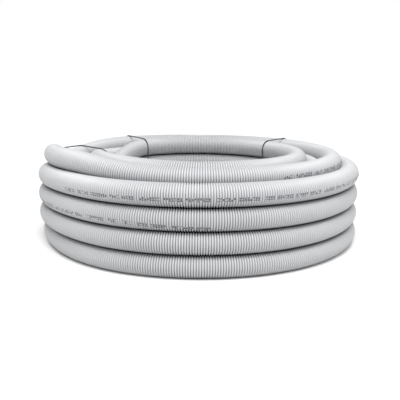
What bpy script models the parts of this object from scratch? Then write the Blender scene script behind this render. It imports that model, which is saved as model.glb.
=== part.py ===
"""Coil of corrugated sewer hose, wound flat and bound with three twine ties.

The hose is wound in four columns of four turns that nest in each other like stacked pipes. The
turned ring holds the packed turns, down to the outer cut end at the bottom of its left side. One
turn lies on top of them, and the inner end lies on the ground inside the ring. Every twine tie runs
once round the whole bundle and ends in a knot inside the ring.
"""

import math

import bmesh
import bpy
from mathutils import Matrix, Vector

MM = 0.001
HOSE_OD = 30 * MM
TURN_GAP = 0.3 * MM
COLUMNS = 4
TURNS_HIGH = 4
OUTER_TURN_RADIUS = 7.8 * HOSE_OD
COLUMN_STEP = 0.87 * HOSE_OD
RING_SEGMENTS = 48
ARC_STEP = 50
FOOT_HALF_ANGLE = 30

# The top turn rides up on the outer column at the left and settles into the groove elsewhere.
HUMP_CENTRE = 206
HUMP_HALF_WIDTH = 42
NEST_ANGLE = 150
HUMP_ANGLE = 110

INNER_END_RADIUS = 4.1 * HOSE_OD
INNER_END_FROM = 190
INNER_END_TO = 265

TWINE_DIAMETER = 2.2 * MM
TWINE_GAP = 0.8 * MM
TWINE_HEIGHT_UNDER = 1.6 * MM
GROOVE_WIDTH = 4 * MM
GROOVE_DEPTH = 3.2 * MM
TIE_AZIMUTHS = {"tie_left": 166, "tie_back_left": 128, "tie_back_right": 42}
KNOT_LENGTH = 8 * MM
KNOT_WIDTH = 6 * MM
KNOT_HEIGHT = 2 * HOSE_OD

HOSE_GREY = (0.66, 0.67, 0.68, 1.0)
TWINE_DARK = (0.035, 0.035, 0.04, 1.0)


def clear_scene():
    for obj in list(bpy.data.objects):
        bpy.data.objects.remove(obj, do_unlink=True)


def material(name, colour, roughness):
    made = bpy.data.materials.new(name)
    made.use_nodes = True
    shader = made.node_tree.nodes["Principled BSDF"]
    shader.inputs["Base Color"].default_value = colour
    shader.inputs["Roughness"].default_value = roughness
    shader.inputs["Metallic"].default_value = 0.0
    return made


def column_radius(column):
    return OUTER_TURN_RADIUS - column * COLUMN_STEP


def turn_centre(column, level):
    """Radius and height of one packed turn: every second column sits half a hose higher."""
    lift = 0.5 if column % 2 == 0 else 1.0
    return Vector((column_radius(column), (level + lift) * HOSE_OD))


def at_azimuth(radius, height, degrees):
    angle = math.radians(degrees)
    return Vector((radius * math.cos(angle), radius * math.sin(angle), height))


def hump(degrees):
    """0 where the top turn lies in its groove, 1 where it rides highest on the outer column."""
    away = (degrees - HUMP_CENTRE) / HUMP_HALF_WIDTH
    return math.cos(math.pi / 2 * away) ** 2 if abs(away) < 1 else 0.0


def top_turn_centre(degrees):
    """The top turn rolls round the uppermost turn of the outer column as it climbs."""
    under = turn_centre(0, TURNS_HIGH - 1)
    roll = math.radians(NEST_ANGLE + (HUMP_ANGLE - NEST_ANGLE) * hump(degrees))
    reach = (turn_centre(1, TURNS_HIGH - 1) - under).length
    return under + reach * Vector((math.cos(roll), math.sin(roll)))


def boundary_turns():
    """The packed turns that the outline passes, anticlockwise from the outer bottom one."""
    top = TURNS_HIGH - 1
    outer = [turn_centre(0, level) for level in range(TURNS_HIGH)]
    over = [turn_centre(1, top - 1), turn_centre(2, top)]
    inner = [turn_centre(COLUMNS - 1, level) for level in reversed(range(TURNS_HIGH))]
    under = [turn_centre(2, 0), turn_centre(1, 0)]
    return outer + over + inner + under


def coil_outline():
    """Arcs of the hose's own radius round each boundary turn, joined where the turns touch."""
    turns = boundary_turns()
    points = []
    for index, centre in enumerate(turns):
        before = turns[index - 1] - centre
        after = turns[(index + 1) % len(turns)] - centre
        start = math.degrees(math.atan2(before.y, before.x))
        sweep = (math.degrees(math.atan2(after.y, after.x)) - start) % 360
        points.append(centre + before / 2)
        steps = max(2, round(sweep / ARC_STEP))
        for step in range(1, steps):
            angle = math.radians(start + sweep * step / steps)
            points.append(centre + HOSE_OD / 2 * Vector((math.cos(angle), math.sin(angle))))
    return [foot(point) for point in points]


def foot(point):
    """The lowest facets lie flat on the ground, as a soft wall does."""
    flat_below = HOSE_OD / 2 * (1 - math.cos(math.radians(FOOT_HALF_ANGLE + 1)))
    return Vector((point.x, 0.0)) if point.y < flat_below else point


def link(name, data, finish):
    obj = bpy.data.objects.new(name, data)
    obj.data.materials.append(finish)
    bpy.context.scene.collection.objects.link(obj)
    return obj


def turned_ring(name, outline, finish):
    shape = bmesh.new()
    corners = [shape.verts.new((point.x, 0.0, point.y)) for point in outline]
    edges = [shape.edges.new((corners[i - 1], corners[i])) for i in range(len(corners))]
    bmesh.ops.spin(
        shape,
        geom=corners + edges,
        cent=(0, 0, 0),
        axis=(0, 0, 1),
        angle=2 * math.pi,
        steps=RING_SEGMENTS,
        use_merge=True,
    )
    bmesh.ops.recalc_face_normals(shape, faces=shape.faces)
    mesh = bpy.data.meshes.new(name)
    shape.to_mesh(mesh)
    shape.free()
    mesh.shade_smooth()
    mesh.set_sharp_from_angle(angle=math.radians(60))
    return link(name, mesh, finish)


def tube(name, points, diameter, finish, closed=False, sides_setting=3):
    curve = bpy.data.curves.new(name, "CURVE")
    curve.dimensions = "3D"
    curve.bevel_depth = diameter / 2
    curve.bevel_resolution = sides_setting
    curve.use_fill_caps = not closed
    line = curve.splines.new("POLY")
    line.points.add(len(points) - 1)
    for spot, point in zip(line.points, points):
        spot.co = (*point, 1.0)
    line.use_cyclic_u = closed
    line.use_smooth = True
    return link(name, curve, finish)


def groove_cutter(name, degrees):
    """A radial slot under the coil, where the twine presses into the hose."""
    inside = column_radius(2) - 0.6 * HOSE_OD
    outside = column_radius(0) + 0.6 * HOSE_OD
    below = 2 * MM
    shape = bmesh.new()
    bmesh.ops.create_cube(shape, size=1.0)
    size = (outside - inside, GROOVE_WIDTH, GROOVE_DEPTH + below)
    bmesh.ops.scale(shape, verts=shape.verts, vec=size)
    middle = Vector(((inside + outside) / 2, 0, (GROOVE_DEPTH - below) / 2))
    bmesh.ops.translate(shape, verts=shape.verts, vec=middle)
    turn = Matrix.Rotation(math.radians(degrees), 3, "Z")
    bmesh.ops.rotate(shape, verts=shape.verts, cent=(0, 0, 0), matrix=turn)
    mesh = bpy.data.meshes.new(name)
    shape.to_mesh(mesh)
    shape.free()
    cutter = bpy.data.objects.new(name, mesh)
    bpy.context.scene.collection.objects.link(cutter)
    cutter.hide_render = True
    cutter.display_type = "WIRE"
    return cutter


def convex_loop(points):
    """The convex hull of points in the radius-height plane, anticlockwise."""
    ordered = sorted(points, key=lambda point: (point.x, point.y))

    def half(run):
        kept = []
        for point in run:
            while len(kept) > 1 and (kept[-1] - kept[-2]).cross(point - kept[-1]) <= 0:
                kept.pop()
            kept.append(point)
        return kept[:-1]

    return half(ordered) + half(reversed(ordered))


def tie_route(degrees):
    """Once round the bundle, taut over the outermost turns and pressed in underneath."""
    turns = boundary_turns() + [top_turn_centre(degrees)]
    reach = HOSE_OD / 2 + TWINE_GAP + TWINE_DIAMETER / 2
    rim = []
    for centre in turns:
        for step in range(24):
            angle = 2 * math.pi * step / 24
            rim.append(centre + reach * Vector((math.cos(angle), math.sin(angle))))
    raised = [Vector((spot.x, max(spot.y, TWINE_HEIGHT_UNDER))) for spot in convex_loop(rim)]
    return [at_azimuth(spot.x, spot.y, degrees) for spot in raised]


def knot(name, degrees, finish):
    """The tied twine: a small oval lump against the inner run of its tie."""
    tie_radius = column_radius(COLUMNS - 1) - HOSE_OD / 2 - TWINE_GAP - TWINE_DIAMETER / 2
    centre_radius = tie_radius - TWINE_DIAMETER / 2 - TURN_GAP - KNOT_WIDTH / 2
    shape = bmesh.new()
    bmesh.ops.create_icosphere(shape, subdivisions=2, radius=0.5)
    size = (KNOT_WIDTH, KNOT_WIDTH, KNOT_LENGTH)
    bmesh.ops.scale(shape, verts=shape.verts, vec=size)
    turn = Matrix.Rotation(math.radians(degrees), 3, "Z")
    bmesh.ops.rotate(shape, verts=shape.verts, cent=(0, 0, 0), matrix=turn)
    mesh = bpy.data.meshes.new(name)
    shape.to_mesh(mesh)
    shape.free()
    mesh.shade_smooth()
    lump = link(name, mesh, finish)
    lump.location = at_azimuth(centre_radius, KNOT_HEIGHT, degrees)
    return lump


def build_coil(finish):
    coil = turned_ring("hose_coil", coil_outline(), finish)
    for tie_name, degrees in TIE_AZIMUTHS.items():
        groove = coil.modifiers.new(f"groove_{tie_name}", "BOOLEAN")
        groove.operation = "DIFFERENCE"
        groove.object = groove_cutter(f"cutter_{tie_name}", degrees)


def build_top_turn(finish):
    points = []
    for step in range(RING_SEGMENTS):
        degrees = 360 * step / RING_SEGMENTS
        centre = top_turn_centre(degrees)
        points.append(at_azimuth(centre.x, centre.y, degrees))
    tube("hose_top_turn", points, HOSE_OD - 2 * TURN_GAP, finish, closed=True)


def build_inner_end(finish):
    """The inner end lies on the ground inside the ring."""
    pieces = 10
    points = []
    for i in range(pieces + 1):
        degrees = INNER_END_FROM + (INNER_END_TO - INNER_END_FROM) * i / pieces
        points.append(at_azimuth(INNER_END_RADIUS, HOSE_OD / 2, degrees))
    tube("hose_inner_end", points, HOSE_OD - 2 * TURN_GAP, finish)


def build_ties():
    for name, degrees in TIE_AZIMUTHS.items():
        twine = material(f"{name}_twine", TWINE_DARK, 0.8)
        tube(name, tie_route(degrees), TWINE_DIAMETER, twine, closed=True, sides_setting=2)
        knot(f"{name}_knot", degrees, material(f"{name}_knot_twine", TWINE_DARK, 0.8))


def main():
    clear_scene()
    build_coil(material("packed_turns_plastic", HOSE_GREY, 0.42))
    build_top_turn(material("top_turn_plastic", HOSE_GREY, 0.42))
    build_inner_end(material("inner_end_plastic", HOSE_GREY, 0.42))
    build_ties()


main()
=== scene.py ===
"""Visible surface of the coiled sewer hose: ribbed hose, ink marks, twine ties and the studio."""

import math
import random

import bmesh
import bpy
import numpy as np
from bpy.props import FloatProperty, FloatVectorProperty, IntProperty, PointerProperty
from mathutils import Matrix, Vector


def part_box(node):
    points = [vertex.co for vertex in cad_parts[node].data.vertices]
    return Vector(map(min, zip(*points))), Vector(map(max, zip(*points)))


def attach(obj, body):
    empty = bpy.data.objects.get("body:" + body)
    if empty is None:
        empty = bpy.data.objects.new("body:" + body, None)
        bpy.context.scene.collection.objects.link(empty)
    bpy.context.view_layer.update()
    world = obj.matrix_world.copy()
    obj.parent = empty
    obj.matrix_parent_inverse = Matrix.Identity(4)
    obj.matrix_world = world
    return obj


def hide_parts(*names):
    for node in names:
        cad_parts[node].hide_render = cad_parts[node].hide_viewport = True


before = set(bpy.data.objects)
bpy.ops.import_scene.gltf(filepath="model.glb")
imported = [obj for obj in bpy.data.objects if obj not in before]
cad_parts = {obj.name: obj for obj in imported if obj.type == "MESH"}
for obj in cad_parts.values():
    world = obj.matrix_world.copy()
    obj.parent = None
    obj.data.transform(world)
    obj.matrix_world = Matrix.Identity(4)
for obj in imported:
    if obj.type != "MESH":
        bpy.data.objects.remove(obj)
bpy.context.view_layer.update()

bl_info = {
    "name": "Coiled Sewer Hose",
    "version": (1, 0, 0),
    "blender": (4, 5, 0),
    "location": "View3D > Sidebar > Hose",
    "description": "Winds a ribbed hose into a tied coil",
    "category": "Add Mesh",
}

MM = 0.001
COIL_LOW, COIL_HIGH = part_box("hose_coil")
COIL_WIDTH_IN_HOSES = 16.6
HOSE_OD = (COIL_HIGH[0] - COIL_LOW[0]) / COIL_WIDTH_IN_HOSES

# The winding, in hose diameters and degrees of azimuth. It runs clockwise as seen from above.
COLUMNS = 4
TURNS_HIGH = 4
OUTER_TURN_RADIUS = 7.8
COLUMN_STEP = 0.87
INNER_END_RADIUS = 4.1
INNER_END_FROM = 265.0
OUTER_END_AT = 188.0
HUMP_CENTRE = 236.0
HUMP_WIDTH = 50.0
HUMP_ROLL = 112.0
CLIMB_OF_COLUMN = {0: (172.0, 50.0), 1: (202.0, 56.0), 2: (174.0, 60.0), 3: (158.0, 70.0)}
CROSSING_FROM_COLUMN = {3: (167.0, 66.0), 2: (182.0, 62.0), 1: (172.0, 50.0)}
FIRST_TURN_JOINS = (166.0, 125.0)
PINCH_CENTRE = 203.0
PINCH_REACH = 45.0
PINCH = 0.12
PRESS_CENTRE = 180.0
PRESS_REACH = 50.0
PRESS = 0.06
SLICE_DEGREES = 3.0
SLICES_PER_TURN = 120
SETTLING_ROUNDS = 400

# One rib as shares of its pitch: the middle and width of its crest, and the width of its slopes.
RIB_CREST_AT = 0.60
RIB_CREST = 0.42
RIB_SLOPE = 0.19


def parented(piece, nodes):
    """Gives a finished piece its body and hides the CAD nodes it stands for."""
    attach(piece, "root")
    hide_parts(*nodes)


# ---------------------------------------------------------------- the hose's route


def resting_place(column, level):
    """Radius and height of a packed turn: every second column sits half a hose higher."""
    lift = 0.5 if column % 2 == 0 else 1.0
    return np.array([OUTER_TURN_RADIUS - column * COLUMN_STEP, level + lift])


def moves():
    """Each sideways or upward move of the hose: turning so far, width of the move, place after it."""
    places = []
    for column in reversed(range(COLUMNS)):
        levels = range(TURNS_HIGH) if column % 2 else reversed(range(TURNS_HIGH))
        places += [(column, level) for level in levels]
    found = [(INNER_END_FROM - FIRST_TURN_JOINS[0], FIRST_TURN_JOINS[1], resting_place(*places[0]))]
    for turn in range(1, len(places)):
        column, level = places[turn]
        before = places[turn - 1][0]
        changes_column = before != column
        centre, width = (CROSSING_FROM_COLUMN if changes_column else CLIMB_OF_COLUMN)[before]
        if changes_column and before == 1:
            roll = math.radians(HUMP_ROLL)
            over = resting_place(0, TURNS_HIGH - 1) + np.array([math.cos(roll), math.sin(roll)])
            found.append((360.0 * turn + INNER_END_FROM - HUMP_CENTRE, HUMP_WIDTH, over))
        found.append((360.0 * turn + INNER_END_FROM - centre, width, resting_place(column, level)))
    return found


def eased(share):
    share = np.clip(share, 0.0, 1.0)
    return share**3 * (share * (6 * share - 15) + 10)


def planned_route():
    """Radius and height of the hose's centre at every slice, before the turns press on each other."""
    turns = COLUMNS * TURNS_HIGH
    turned = np.arange(0.0, 360.0 * turns + INNER_END_FROM - OUTER_END_AT, SLICE_DEGREES)
    place = np.tile([INNER_END_RADIUS, 0.5], (len(turned), 1))
    last = place[0].copy()
    for centre, width, after in moves():
        place += (after - last) * eased((turned - centre) / width + 0.5)[:, None]
        last = after
    return turned, place


def settled(place):
    """Lets the turns push each other apart, slice by slice, until no two lie inside each other."""
    count = len(place)
    rows = -(-count // SLICES_PER_TURN)
    filled = np.arange(rows * SLICES_PER_TURN).reshape(rows, SLICES_PER_TURN) < count
    shift = np.zeros_like(place)
    apart = np.eye(rows)[:, :, None] * 1e3
    for done in range(SETTLING_ROUNDS):
        slices = np.full((rows, SLICES_PER_TURN, 2), 1e3)
        slices[filled] = place + shift
        slices[~filled] += 50.0 * np.arange((~filled).sum())[:, None]
        between = slices[:, None] - slices[None]
        far = np.sqrt((between**2).sum(-1)) + apart
        push = (between / far[..., None] * np.clip(1.0 - far, 0, None)[..., None]).sum(1)
        shift += 0.35 * push[filled]
        shift[:, 1] += np.clip(0.5 - place[:, 1] - shift[:, 1], 0, None)
        shift *= 1 - 0.02 * max(0.0, 1 - done / (0.6 * SETTLING_ROUNDS))
        padded = np.pad(shift, ((2, 2), (0, 0)), mode="edge")
        spread = sum(w * padded[k : k + count] for k, w in enumerate((1, 4, 6, 4, 1))) / 16
        shift += 0.5 * (spread - shift)
    return place + shift


def pulled(turned, centre, reach):
    """How hard a tie pulls at each slice: fully at its centre, not at all beyond its reach."""
    away = (INNER_END_FROM - turned - centre + 180.0) % 360.0 - 180.0
    return np.cos(np.clip(away / reach, -1, 1) * math.pi / 2) ** 2


def pinched(turned, place):
    """Draws the turns in and presses them down a little where the left tie pulls."""
    inner = OUTER_TURN_RADIUS - COLUMNS * COLUMN_STEP
    share = np.clip((place[:, 0] - inner) / (OUTER_TURN_RADIUS - inner), 0, None)
    place[:, 0] -= PINCH * share * pulled(turned, PINCH_CENTRE, PINCH_REACH)
    place[:, 1] -= PRESS * (place[:, 1] - 0.5) * pulled(turned, PRESS_CENTRE, PRESS_REACH)
    return place


class Route:
    """The hose's centreline in metres, with the frame that carries its cross-section."""

    def __init__(self):
        self.turned, place = planned_route()
        self.place = pinched(self.turned, settled(place)) * HOSE_OD
        fine = np.arange(0.0, self.turned[-1], SLICE_DEGREES / 12)
        points = self.at_turning(fine)
        steps = np.linalg.norm(np.diff(points, axis=0), axis=1)
        self.fine_turning = fine
        self.fine_length = np.concatenate([[0.0], np.cumsum(steps)])
        self.length = float(self.fine_length[-1])

    def at_turning(self, turning):
        """Points on a cubic through the slices, in metres."""
        last = len(self.place) - 1
        at = np.clip(np.asarray(turning) / SLICE_DEGREES, 0, last - 1e-6)
        first = at.astype(int)
        part = (at - first)[:, None]
        a, b, c, d = (self.place[np.clip(first + k, 0, last)] for k in (-1, 0, 1, 2))
        bend = part * (c - a + part * (2 * a - 5 * b + 4 * c - d + part * (3 * (b - c) + d - a)))
        radius, height = (b + 0.5 * bend).T
        azimuth = np.radians(INNER_END_FROM - np.asarray(turning))
        return np.stack([radius * np.cos(azimuth), radius * np.sin(azimuth), height], axis=1)

    def at_length(self, along):
        turning = np.interp(along, self.fine_length, self.fine_turning)
        return self.at_turning(turning)

    def length_at(self, turning):
        return float(np.interp(turning, self.fine_turning, self.fine_length))

    def frames(self, along):
        """Centre, outward and upward direction at each length."""
        reach = HOSE_OD / 10
        centre = self.at_length(along)
        ahead = self.at_length(np.clip(along + reach, 0, self.length))
        behind = self.at_length(np.clip(along - reach, 0, self.length))
        forward = ahead - behind
        forward /= np.linalg.norm(forward, axis=1)[:, None]
        outward = np.cross([0.0, 0.0, 1.0], forward)
        outward /= np.linalg.norm(outward, axis=1)[:, None]
        upward = np.cross(forward, outward)
        return centre, outward, upward

    def crossings(self, azimuth):
        """Radius and height of every turn where it passes an azimuth, in metres."""
        turnings = np.arange((INNER_END_FROM - azimuth) % 360.0, self.turned[-1], 360.0)
        points = self.at_turning(turnings)
        return [Vector((math.hypot(x, y), z)) for x, y, z in points]


_route = []


def route():
    if not _route:
        _route.append(Route())
    return _route[0]


def laid_on_route(mesh):
    """Bends a mesh made along X, with its section in Y (outward) and Z (up), onto the route."""
    flat = np.empty(len(mesh.vertices) * 3, np.float32)
    mesh.vertices.foreach_get("co", flat)
    flat = flat.reshape(-1, 3).astype(np.float64)
    lengths, which = np.unique(np.round(flat[:, 0], 6), return_inverse=True)
    centre, outward, upward = (part[which.reshape(-1)] for part in route().frames(lengths))
    placed = centre + flat[:, 1:2] * outward + flat[:, 2:3] * upward
    mesh.vertices.foreach_set("co", placed.astype(np.float32).reshape(-1))
    mesh.update()
    return flat


def mesh_from(shape, name, smooth_below=80.0):
    mesh = bpy.data.meshes.new(name)
    shape.to_mesh(mesh)
    shape.free()
    mesh.shade_smooth()
    mesh.set_sharp_from_angle(angle=math.radians(smooth_below))
    return mesh


def linked(name, mesh, finish):
    piece = bpy.data.objects.new(name, mesh)
    mesh.materials.append(finish)
    bpy.context.scene.collection.objects.link(piece)
    return piece


# ---------------------------------------------------------------- materials


class Nodes:
    """A material's node tree, with short calls for the nodes that the finishes share."""

    def __init__(self, name):
        self.material = bpy.data.materials.new(name)
        self.material.use_nodes = True
        self.tree = self.material.node_tree
        self.shader = self.tree.nodes["Principled BSDF"]

    def add(self, kind, **settings):
        node = self.tree.nodes.new(kind)
        for key, value in settings.items():
            setattr(node, key, value)
        return node

    def link(self, source, target):
        self.tree.links.new(source, target)

    def noise(self, scale, detail, roughness=0.5, stretch=(1, 1, 1)):
        place = self.add("ShaderNodeTexCoord")
        fit = self.add("ShaderNodeMapping")
        fit.inputs["Scale"].default_value = stretch
        pattern = self.add("ShaderNodeTexNoise")
        pattern.inputs["Scale"].default_value = scale
        pattern.inputs["Detail"].default_value = detail
        pattern.inputs["Roughness"].default_value = roughness
        self.link(place.outputs["Object"], fit.inputs["Vector"])
        self.link(fit.outputs["Vector"], pattern.inputs["Vector"])
        return pattern.outputs["Fac"]

    def attribute(self, name):
        return self.add("ShaderNodeAttribute", attribute_name=name).outputs["Fac"]

    def ranged(self, value, low, high, to_low, to_high):
        node = self.add("ShaderNodeMapRange")
        for key, number in zip(
            ("From Min", "From Max", "To Min", "To Max"), (low, high, to_low, to_high)
        ):
            node.inputs[key].default_value = number
        self.link(value, node.inputs["Value"])
        return node.outputs["Result"]

    def mixed(self, share, first, second, mode="MIX"):
        node = self.add("ShaderNodeMix", data_type="RGBA", blend_type=mode)
        self.link(share, node.inputs["Factor"])
        for socket, source in ((node.inputs[6], first), (node.inputs[7], second)):
            if isinstance(source, tuple):
                socket.default_value = source
            else:
                self.link(source, socket)
        return node.outputs[2]

    def bump(self, height, strength, distance):
        node = self.add("ShaderNodeBump")
        node.inputs["Strength"].default_value = strength
        node.inputs["Distance"].default_value = distance
        self.link(height, node.inputs["Height"])
        self.link(node.outputs["Normal"], self.shader.inputs["Normal"])


def rgba(colour, shade=1.0):
    return tuple(channel * shade for channel in colour) + (1.0,)


def hose_plastic(settings):
    """Light grey soft plastic: cloudy tint, scuffed crests, painted shade in the grooves and where turns
    touch.
    """
    nodes = Nodes("hose_plastic")
    cloud = nodes.noise(9.0, 3.0)
    tint = nodes.ranged(cloud, 0.3, 0.7, 0.0, 1.0)
    base = nodes.mixed(tint, rgba(settings.plastic, 0.955), rgba(settings.plastic, 1.03))
    # Painted shade: the colour darkens from the rib crests towards the groove roots.
    groove = nodes.ranged(nodes.attribute("rib_height"), 0.0, 1.0, 1.0, 0.0)
    base = nodes.mixed(groove, base, rgba(settings.groove))
    # Painted shade: a near-black colour along the crevices where one turn lies on the next.
    base = nodes.mixed(nodes.attribute("painted_crevice_mask"), base, rgba(settings.painted_crevice_shade))
    nodes.link(base, nodes.shader.inputs["Base Color"])
    wear = nodes.noise(140.0, 4.0, 0.6)
    nodes.link(nodes.ranged(wear, 0.3, 0.7, 0.34, 0.5), nodes.shader.inputs["Roughness"])
    nodes.shader.inputs["IOR"].default_value = 1.5
    nodes.bump(nodes.noise(700.0, 2.0), 0.12, 0.0002)
    return nodes.material


def print_ink(settings):
    """Dark dot-matrix ink that has dried unevenly."""
    nodes = Nodes("print_ink")
    faded = nodes.ranged(nodes.noise(260.0, 3.0), 0.35, 0.7, 0.0, 1.0)
    base = nodes.mixed(faded, rgba(settings.ink), rgba(settings.ink, 2.4))
    nodes.link(base, nodes.shader.inputs["Base Color"])
    nodes.shader.inputs["Roughness"].default_value = 0.6
    return nodes.material


def tie_twine(settings):
    """Dark twisted fibre with lighter stray hairs along the strands."""
    nodes = Nodes("tie_twine")
    fibre = nodes.noise(900.0, 5.0, 0.7)
    share = nodes.ranged(fibre, 0.4, 0.75, 0.0, 1.0)
    base = nodes.mixed(share, rgba(settings.colour), rgba(settings.colour, 3.0))
    nodes.link(base, nodes.shader.inputs["Base Color"])
    nodes.link(nodes.ranged(fibre, 0.3, 0.7, 0.9, 0.65), nodes.shader.inputs["Roughness"])
    nodes.shader.inputs["Sheen Weight"].default_value = 0.2
    nodes.bump(fibre, 0.5, 0.0004)
    return nodes.material


# ---------------------------------------------------------------- settings


class HOSE_PG_coil(bpy.types.PropertyGroup):
    rib_pitch: FloatProperty(
        name="Rib pitch", description="Distance from one rib to the next", default=3.17 * MM, unit="LENGTH"
    )
    rib_depth: FloatProperty(
        name="Rib depth", description="Depth of the groove between ribs", default=2.0 * MM, unit="LENGTH"
    )
    bore: FloatProperty(
        name="Bore", description="Inside diameter", default=25 * MM, unit="LENGTH"
    )
    sides: IntProperty(name="Sides", description="Facets round the hose", default=28, min=12)
    plastic: FloatVectorProperty(
        name="Plastic", description="Colour of the ribs", default=(0.44, 0.445, 0.456), subtype="COLOR"
    )
    # Painted shade colour for the groove roots between the ribs.
    groove: FloatVectorProperty(
        name="Groove_shade", description="Colour between the ribs", default=(0.235, 0.239, 0.247), subtype="COLOR"
    )
    # Painted shade colour for the crevices where turns touch.
    painted_crevice_shade: FloatVectorProperty(
        name="Crevice_shade", description="Colour where turns touch", default=(0.03, 0.03, 0.028), subtype="COLOR"
    )


class HOSE_PG_print(bpy.types.PropertyGroup):
    height: FloatProperty(
        name="Height", description="Height of the ink marks", default=5.0 * MM, unit="LENGTH"
    )
    film: FloatProperty(
        name="Film", description="Thickness of the ink above the ribs", default=0.06 * MM, unit="LENGTH"
    )
    ink: FloatVectorProperty(
        name="Ink", description="Colour of the ink", default=(0.02, 0.022, 0.03), subtype="COLOR"
    )


class HOSE_PG_tie(bpy.types.PropertyGroup):
    diameter: FloatProperty(
        name="Twine", description="Diameter of the twisted twine", default=2.2 * MM, unit="LENGTH"
    )
    lay_length: FloatProperty(
        name="Lay", description="Length of one twist of the strands", default=9 * MM, unit="LENGTH"
    )
    strands: IntProperty(name="Strands", description="Strands in the twine", default=3, min=2)
    colour: FloatVectorProperty(
        name="Colour", description="Colour of the twine", default=(0.022, 0.022, 0.024), subtype="COLOR"
    )


class HOSE_PG_stage(bpy.types.PropertyGroup):
    camera_distance: FloatProperty(
        name="Distance", description="From the coil's axis", default=29.96 * HOSE_OD, unit="LENGTH"
    )
    camera_height: FloatProperty(
        name="Height", description="Above the floor", default=8.11 * HOSE_OD, unit="LENGTH"
    )
    pitch: FloatProperty(
        name="Pitch", description="Downward tilt of the view", default=0.2135, subtype="ANGLE"
    )
    roll: FloatProperty(
        name="Roll", description="Tilt of the horizon", default=0.0071, subtype="ANGLE"
    )
    lens: FloatProperty(name="Lens", description="Focal length in mm", default=50.56)
    shift: FloatProperty(name="Shift", description="Sideways framing", default=0.0034)
    sky: FloatProperty(name="Sky", description="Strength of the even light", default=0.36)
    key: FloatProperty(name="Key", description="Strength of the overhead light", default=3.2)
    front: FloatProperty(name="Front", description="Power of the front softbox in W", default=16.0)


# ---------------------------------------------------------------- the hose


# Painted shade darkens where a turn lies on the next one, from this share of its half height outwards.
PAINTED_CREVICE_FROM = 0.86
# Turns whose centres are above this many diameters have nothing on them, so their upper sides get no
# painted shade.
TOP_LAYER_FROM = 3.3


def hose_profile(shape, first, last, settings):
    """Half-section of a length of hose: ribs outside, a smooth bore inside, cut square."""
    crest = HOSE_OD / 2
    root = crest - settings.rib_depth
    pitch = settings.rib_pitch
    rise = RIB_CREST_AT - RIB_CREST / 2
    rib = ((0.0, root), (rise - RIB_SLOPE, root), (rise, crest), (rise + RIB_CREST, crest))
    outside = [((n + at) * pitch, r) for n in range(first, last) for at, r in rib]
    outside.append((last * pitch, root))
    bore_step = 4
    stops = list(range(first, last, bore_step)) + [last]
    inside = [(n * pitch, settings.bore / 2) for n in reversed(stops)]
    corners = [shape.verts.new((x, r, 0.0)) for x, r in outside + inside]
    edges = [shape.edges.new((corners[i - 1], corners[i])) for i in range(len(corners))]
    return corners + edges


def hose_length(name, first, last, settings, finish):
    """One stretch of hose from rib number first to rib number last."""
    shape = bmesh.new()
    profile = hose_profile(shape, first, last, settings)
    bmesh.ops.spin(
        shape,
        geom=profile,
        cent=(0, 0, 0),
        axis=(1, 0, 0),
        angle=2 * math.pi,
        steps=settings.sides,
        use_merge=True,
    )
    bmesh.ops.recalc_face_normals(shape, faces=shape.faces)
    mesh = mesh_from(shape, name)
    flat = laid_on_route(mesh)
    radius = np.hypot(flat[:, 1], flat[:, 2])
    crest = HOSE_OD / 2
    height = np.clip((radius - crest + settings.rib_depth) / settings.rib_depth, 0, 1)
    mesh.attributes.new("rib_height", "FLOAT", "POINT").data.foreach_set("value", height)
    # Painted shade mask: rises towards the top and bottom of the section, where turns touch; the upper
    # sides of the top layer are left out.
    painted_crevice_mask = np.clip((np.abs(flat[:, 2]) / radius - PAINTED_CREVICE_FROM) / (1 - PAINTED_CREVICE_FROM), 0, 1)
    on_top = route().at_length(flat[:, 0])[:, 2] > TOP_LAYER_FROM * HOSE_OD
    painted_crevice_mask[on_top & (flat[:, 2] > 0)] = 0
    mesh.attributes.new("painted_crevice_mask", "FLOAT", "POINT").data.foreach_set("value", painted_crevice_mask)
    return linked(name, mesh, finish)


def rib_cuts(settings):
    """Rib numbers where the hose is parted into pieces: its inner end, then about one a turn."""
    path = route()
    joins_at = INNER_END_FROM - FIRST_TURN_JOINS[0]
    turnings = [joins_at + 360.0 * turn for turn in range(COLUMNS * TURNS_HIGH)]
    cuts = [round(path.length_at(turning) / settings.rib_pitch) for turning in turnings]
    return [0] + cuts + [int(path.length / settings.rib_pitch)]


TOP_TURN = (COLUMNS - 1) * TURNS_HIGH


class HOSE_OT_wind(bpy.types.Operator):
    """Wind the ribbed hose into its coil, one piece a turn"""

    bl_idname = "hose.wind"
    bl_label = "Wind Hose"

    def execute(self, context):
        settings = context.scene.hose_coil
        finish = hose_plastic(settings)
        cuts = rib_cuts(settings)
        last = len(cuts) - 2
        for index in range(last + 1):
            name = f"hose_turn_{index:02d}"
            nodes = ["hose_coil"]
            if index == 0:
                name, nodes = "hose_inner_end_ribbed", ["hose_inner_end"]
            elif index == TOP_TURN:
                nodes.append("hose_top_turn")
            piece = hose_length(name, cuts[index], cuts[index + 1], settings, finish)
            parented(piece, nodes)
            self.declare(piece, cuts[index], cuts[index + 1], index in (0, last), index == 0, settings)
        return {"FINISHED"}

    @staticmethod
    def declare(piece, first, last, is_end, backwards, settings):
        """Finds the hose's centre at each rib of the stretch, reversed for the inner end; nothing further
        is done with them. Each stretch leaves the one before it; the two outermost end as plain cut ends.
        """
        pitch = settings.rib_pitch
        along = np.arange(first, last + 1) * pitch
        centres = route().at_length(along)
        if backwards:
            centres = centres[::-1]


# ---------------------------------------------------------------- the ink marks

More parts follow.
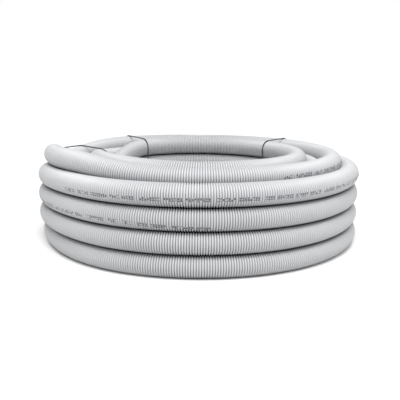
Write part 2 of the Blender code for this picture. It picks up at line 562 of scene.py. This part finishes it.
# Where the print lies round the hose: turns wound, degrees below the outward side.
PRINT_DRIFT = (
    (9.0, 30.0), (11.6, 20.0), (11.7, 2.0), (11.783, -9.0), (11.9, -2.0), (12.2, 20.0),
    (12.45, 8.0), (12.6, 2.0), (12.79, 0.0), (12.90, 12.0), (12.98, 11.0), (13.10, 17.0),
    (13.14, 19.0), (13.3, 40.0), (13.75, 60.0), (13.93, 45.0), (13.99, 34.0),
    (14.05, 18.0), (14.2, 16.0), (14.5, 40.0), (15.0, 85.0), (16.3, 120.0),
)
PRINT_FROM_TURN = 10.2
# Turns between which the print has rubbed off.
PRINT_RUBBED_OFF = ((11.9, 12.45), (13.1, 13.4), (13.6, 13.965))
# Strokes a mark can have on one rib, as shares of its height.
STROKES = (
    ((0.0, 1.0),), ((0.0, 0.42), (0.6, 1.0)), ((0.0, 0.28), (0.38, 0.66), (0.76, 1.0)),
    ((0.45, 1.0),), ((0.0, 0.6),), ((0.15, 1.0),), ((0.0, 0.3), (0.45, 1.0)), ((0.2, 0.8),),
)


class HOSE_OT_print(bpy.types.Operator):
    """Mark the hose with a line of generic ink dots"""

    bl_idname = "hose.print_marks"
    bl_label = "Print Marks"

    def execute(self, context):
        settings = context.scene.hose_print
        pitch = context.scene.hose_coil.rib_pitch
        dice = random.Random(7)
        turns, below = zip(*PRINT_DRIFT)
        path = route()
        rib = int(path.length_at(360.0 * PRINT_FROM_TURN) / pitch)
        last = int(path.length / pitch) - 12
        shape = bmesh.new()
        while rib < last:
            letters = dice.randint(4, 9)
            turned = np.interp(rib * pitch, path.fine_length, path.fine_turning) / 360.0
            if not any(start < turned < end for start, end in PRINT_RUBBED_OFF):
                self.word(shape, rib, letters, dice, pitch, settings)
            rib += letters + dice.choice((1, 1, 2))
        mesh = mesh_from(shape, "print_marks")
        self.roll_down(mesh, path, np.array(turns), np.array(below), HOSE_OD / 2)
        piece = linked("print_marks", mesh, print_ink(settings))
        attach(piece, "root")
        return {"FINISHED"}

    @staticmethod
    def word(shape, first, letters, dice, pitch, settings):
        """A run of strokes on neighbouring ribs, added to the unrolled marks: X along, Y across."""
        run = bmesh.new()
        radius = HOSE_OD / 2 - 0.5 * settings.film
        for rib in range(first, first + letters):
            for low, high in dice.choice(STROKES):
                size = (RIB_CREST * pitch, (high - low) * settings.height, 3 * settings.film, 1.0)
                across = ((low + high) / 2 - 0.5) * settings.height
                place = Matrix.Translation(((rib + RIB_CREST_AT) * pitch, across, radius))
                bmesh.ops.create_cube(run, size=1.0, matrix=place @ Matrix.Diagonal(size))
        mesh = bpy.data.meshes.new("word")
        run.to_mesh(mesh)
        run.free()
        shape.from_mesh(mesh)
        bpy.data.meshes.remove(mesh)

    @staticmethod
    def roll_down(mesh, path, turns, below, crest):
        """Rolls the unrolled marks round the hose at the print line's drifting angle."""
        flat = np.empty(len(mesh.vertices) * 3, np.float32)
        mesh.vertices.foreach_get("co", flat)
        along, across, radius = flat.reshape(-1, 3).astype(np.float64).T
        turning = np.interp(along, path.fine_length, path.fine_turning) / 360.0
        angle = -np.radians(np.interp(turning, turns, below)) + across / crest
        rolled = np.stack([along, radius * np.cos(angle), radius * np.sin(angle)], axis=1)
        mesh.vertices.foreach_set("co", rolled.astype(np.float32).reshape(-1))
        laid_on_route(mesh)
        mesh.flip_normals()


# ---------------------------------------------------------------- the ties


def convex_loop(points):
    """The convex hull of points in the radius-height plane, anticlockwise."""
    ordered = sorted(points, key=lambda point: (point.x, point.y))

    def half(run):
        kept = []
        for point in run:
            while len(kept) > 1 and (kept[-1] - kept[-2]).cross(point - kept[-1]) <= 0:
                kept.pop()
            kept.append(point)
        return kept[:-1]

    return half(ordered) + half(reversed(ordered))


# How far a tie is skewed from its azimuth at its inner and outer runs, in degrees.
TIE_SKEW = {"tie_left": (0.0, 0.0), "tie_back_left": (3.7, 0.0), "tie_back_right": (-4.8, 2.2)}


def tie_loop(azimuth, skew, thickness):
    """The taut loop round the bundle at an azimuth, as points in space."""
    reach = HOSE_OD / 2 + 0.45 * thickness
    rim = []
    for centre in route().crossings(azimuth):
        if centre.x < 4.4 * HOSE_OD or centre.x > 9 * HOSE_OD:
            continue
        for step in range(48):
            way = 2 * math.pi * step / 48
            rim.append(centre + reach * Vector((math.cos(way), math.sin(way))))
    low = 0.55 * thickness
    loop = [Vector((spot.x, max(spot.y, low))) for spot in convex_loop(rim)]
    widths = sorted(spot.x for spot in loop)
    ends = (widths[0], widths[-1])
    angles = [math.radians(azimuth + np.interp(spot.x, ends, skew)) for spot in loop]
    return [
        Vector((spot.x * math.cos(angle), spot.x * math.sin(angle), spot.y))
        for spot, angle in zip(loop, angles)
    ]


def evenly(points, spacing, closed):
    """Points at an even spacing along a polyline."""
    line = np.array([tuple(p) for p in points])
    if closed:
        line = np.vstack([line, line[:1]])
    run = np.concatenate([[0.0], np.cumsum(np.linalg.norm(np.diff(line, axis=0), axis=1))])
    count = max(8, round(run[-1] / spacing))
    at = np.linspace(0.0, run[-1], count + 1)[: count if closed else count + 1]
    return np.stack([np.interp(at, run, line[:, k]) for k in range(3)], axis=1)


def strand_points(line, closed, radius, lay_length, phase):
    """A strand that winds round a line."""
    ahead = np.roll(line, -1, axis=0) - np.roll(line, 1, axis=0)
    if not closed:
        ahead[0] = line[1] - line[0]
        ahead[-1] = line[-1] - line[-2]
    ahead /= np.linalg.norm(ahead, axis=1)[:, None]
    steps = np.linalg.norm(np.diff(line, axis=0), axis=1)
    run = np.concatenate([[0.0], np.cumsum(steps)])
    whole = run[-1] + (np.linalg.norm(line[0] - line[-1]) if closed else 0.0)
    twists = max(1, round(whole / lay_length))
    side = np.cross(ahead, [0.31, 0.77, 0.56])
    side /= np.linalg.norm(side, axis=1)[:, None]
    other = np.cross(ahead, side)
    angle = 2 * math.pi * twists * run / whole + phase
    return line + radius * (np.cos(angle)[:, None] * side + np.sin(angle)[:, None] * other)


def twisted_mesh(runs, settings):
    """One mesh of several runs of twine, each of strands twisted together."""
    curve = bpy.data.curves.new("twine_strands", "CURVE")
    curve.dimensions = "3D"
    strand_radius = 0.27 * settings.diameter
    curve.bevel_depth = strand_radius
    curve.bevel_resolution = 1
    curve.use_fill_caps = True
    for line, closed in runs:
        for strand in range(settings.strands):
            phase = 2 * math.pi * strand / settings.strands
            reach = settings.diameter / 2 - strand_radius
            points = strand_points(line, closed, reach, settings.lay_length, phase)
            spline = curve.splines.new("POLY")
            spline.points.add(len(points) - 1)
            for spot, point in zip(spline.points, points):
                spot.co = (*point, 1.0)
            spline.use_cyclic_u = closed
            spline.use_smooth = True
    holder = bpy.data.objects.new("twine_strands", curve)
    bpy.context.scene.collection.objects.link(holder)
    graph = bpy.context.evaluated_depsgraph_get()
    mesh = bpy.data.meshes.new_from_object(holder.evaluated_get(graph))
    bpy.data.objects.remove(holder)
    bpy.data.curves.remove(curve)
    return mesh


def knot_runs(azimuth, thickness, dice):
    """A wrapped knot on the inner side of the tie, with two short drooping ends."""
    angle = math.radians(azimuth)
    inward = Vector((-math.cos(angle), -math.sin(angle), 0.0))
    along = Vector((0.0, 0.0, 1.0))
    side = inward.cross(along)
    inner = min(c.x for c in route().crossings(azimuth) if c.x > 4.4 * HOSE_OD) - HOSE_OD / 2
    home = inward * -(inner - 0.4 * thickness) + along * 2.2 * HOSE_OD + inward * thickness
    wraps = 2.5
    wrap = []
    for step in range(41):
        share = step / 40
        way = 2 * math.pi * wraps * share
        out = 0.95 * thickness
        spot = home + out * (math.cos(way) * inward + math.sin(way) * side)
        wrap.append(spot + along * (share - 0.5) * wraps * 1.05 * thickness)
    runs = [(evenly(wrap, 0.5 * MM, False), False)]
    for turn, reach in ((1, 19 * MM), (-1, 14 * MM)):
        tail = []
        for step in range(13):
            share = step / 12
            sideways = turn * reach * (0.25 + 0.5 * share + dice.uniform(-0.01, 0.01))
            droop = reach * (0.35 * share - 1.15 * share * share)
            spot = home + side * sideways * share + along * droop
            tail.append(spot + inward * thickness * (0.9 + 1.6 * math.sin(math.pi * share)))
        runs.append((evenly(tail, 0.5 * MM, False), False))
    return runs


class HOSE_OT_tie(bpy.types.Operator):
    """Bind the coil with three lengths of twisted twine"""

    bl_idname = "hose.tie"
    bl_label = "Tie Coil"

    def execute(self, context):
        settings = context.scene.hose_tie
        finish = tie_twine(settings)
        dice = random.Random(3)
        for node in ("tie_left", "tie_back_left", "tie_back_right"):
            low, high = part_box(node)
            azimuth = math.degrees(math.atan2(low[1] + high[1], low[0] + high[0]))
            skew = TIE_SKEW[node]
            loop = evenly(tie_loop(azimuth, skew, settings.diameter), 0.8 * MM, True)
            mesh = twisted_mesh([(loop, True)], settings)
            mesh.name = f"{node}_twine"
            parented(linked(f"{node}_twine", mesh, finish), [node])
            runs = knot_runs(azimuth + skew[0], settings.diameter, dice)
            knot = twisted_mesh(runs, settings)
            knot.name = f"{node}_tied_knot"
            parented(linked(f"{node}_tied_knot", knot, finish), [f"{node}_knot"])
        return {"FINISHED"}


# ---------------------------------------------------------------- the studio


class HOSE_OT_stage(bpy.types.Operator):
    """Set the camera, the pale floor and the soft light"""

    bl_idname = "hose.stage"
    bl_label = "Set Stage"

    def execute(self, context):
        settings = context.scene.hose_stage
        self.camera(context.scene, settings)
        self.floor()
        self.light(context.scene, settings)
        return {"FINISHED"}

    @staticmethod
    def camera(scene, settings):
        data = bpy.data.cameras.new("studio_camera")
        data.lens = settings.lens
        data.sensor_width = 36.0
        data.shift_x = settings.shift
        data.clip_start = 0.01
        camera = bpy.data.objects.new("studio_camera", data)
        scene.collection.objects.link(camera)
        place = Matrix.Translation((0.0, -settings.camera_distance, settings.camera_height))
        tilt = Matrix.Rotation(math.pi / 2 - settings.pitch, 4, "X")
        camera.matrix_world = place @ tilt @ Matrix.Rotation(settings.roll, 4, "Z")
        scene.camera = camera

    @staticmethod
    def floor():
        shape = bmesh.new()
        bmesh.ops.create_grid(shape, x_segments=4, y_segments=4, size=6.0)
        mesh = mesh_from(shape, "studio_floor")
        nodes = Nodes("studio_floor")
        nodes.shader.inputs["Base Color"].default_value = (0.75, 0.75, 0.75, 1.0)
        nodes.shader.inputs["Roughness"].default_value = 0.9
        nodes.shader.inputs["Specular IOR Level"].default_value = 0.1
        linked("studio_floor", mesh, nodes.material)

    @staticmethod
    def light(scene, settings):
        world = bpy.data.worlds.new("studio_world")
        world.use_nodes = True
        tree = world.node_tree
        fill = tree.nodes["Background"]
        fill.inputs["Color"].default_value = (1.0, 1.0, 1.0, 1.0)
        fill.inputs["Strength"].default_value = settings.sky
        backdrop = tree.nodes.new("ShaderNodeBackground")
        backdrop.inputs["Color"].default_value = (1.0, 1.0, 1.0, 1.0)
        seen = tree.nodes.new("ShaderNodeLightPath")
        choice = tree.nodes.new("ShaderNodeMixShader")
        tree.links.new(seen.outputs["Is Camera Ray"], choice.inputs["Fac"])
        tree.links.new(fill.outputs["Background"], choice.inputs[1])
        tree.links.new(backdrop.outputs["Background"], choice.inputs[2])
        tree.links.new(choice.outputs["Shader"], tree.nodes["World Output"].inputs["Surface"])
        scene.world = world
        overhead = bpy.data.lights.new("overhead", "SUN")
        overhead.energy = settings.key
        overhead.angle = math.radians(45)
        softbox = bpy.data.lights.new("front_softbox", "AREA")
        softbox.energy = settings.front
        softbox.shape = "RECTANGLE"
        softbox.size = 2.4
        softbox.size_y = 0.8
        places = ((overhead, (0.0, -0.35, 1.9)), (softbox, (0.1, -0.9, 0.95)))
        for data, place in places:
            lamp = bpy.data.objects.new(data.name, data)
            scene.collection.objects.link(lamp)
            lamp.location = place
            lamp.rotation_euler = (-lamp.location).to_track_quat("-Z", "Y").to_euler()
        scene.view_settings.view_transform = "Standard"


class HOSE_PT_panel(bpy.types.Panel):
    bl_label = "Coiled Hose"
    bl_idname = "HOSE_PT_panel"
    bl_space_type = "VIEW_3D"
    bl_region_type = "UI"
    bl_category = "Hose"

    def draw(self, context):
        for operator in OPERATORS:
            self.layout.operator(operator.bl_idname)
        for group in SETTINGS:
            settings = getattr(context.scene, group)
            box = self.layout.box()
            for name in settings.bl_rna.properties.keys():
                if name not in ("rna_type", "name"):
                    box.prop(settings, name)


SETTINGS = {
    "hose_coil": HOSE_PG_coil,
    "hose_print": HOSE_PG_print,
    "hose_tie": HOSE_PG_tie,
    "hose_stage": HOSE_PG_stage,
}
OPERATORS = (HOSE_OT_stage, HOSE_OT_wind, HOSE_OT_print, HOSE_OT_tie)


def register():
    for kind in (*SETTINGS.values(), *OPERATORS, HOSE_PT_panel):
        bpy.utils.register_class(kind)
    for name, group in SETTINGS.items():
        setattr(bpy.types.Scene, name, PointerProperty(type=group))


def unregister():
    for name in SETTINGS:
        delattr(bpy.types.Scene, name)
    for kind in (HOSE_PT_panel, *reversed(OPERATORS), *reversed(list(SETTINGS.values()))):
        bpy.utils.unregister_class(kind)


def main():
    register()
    bpy.ops.hose.stage()
    bpy.ops.hose.wind()
    bpy.ops.hose.print_marks()
    bpy.ops.hose.tie()


if __name__ == "__main__":
    main()
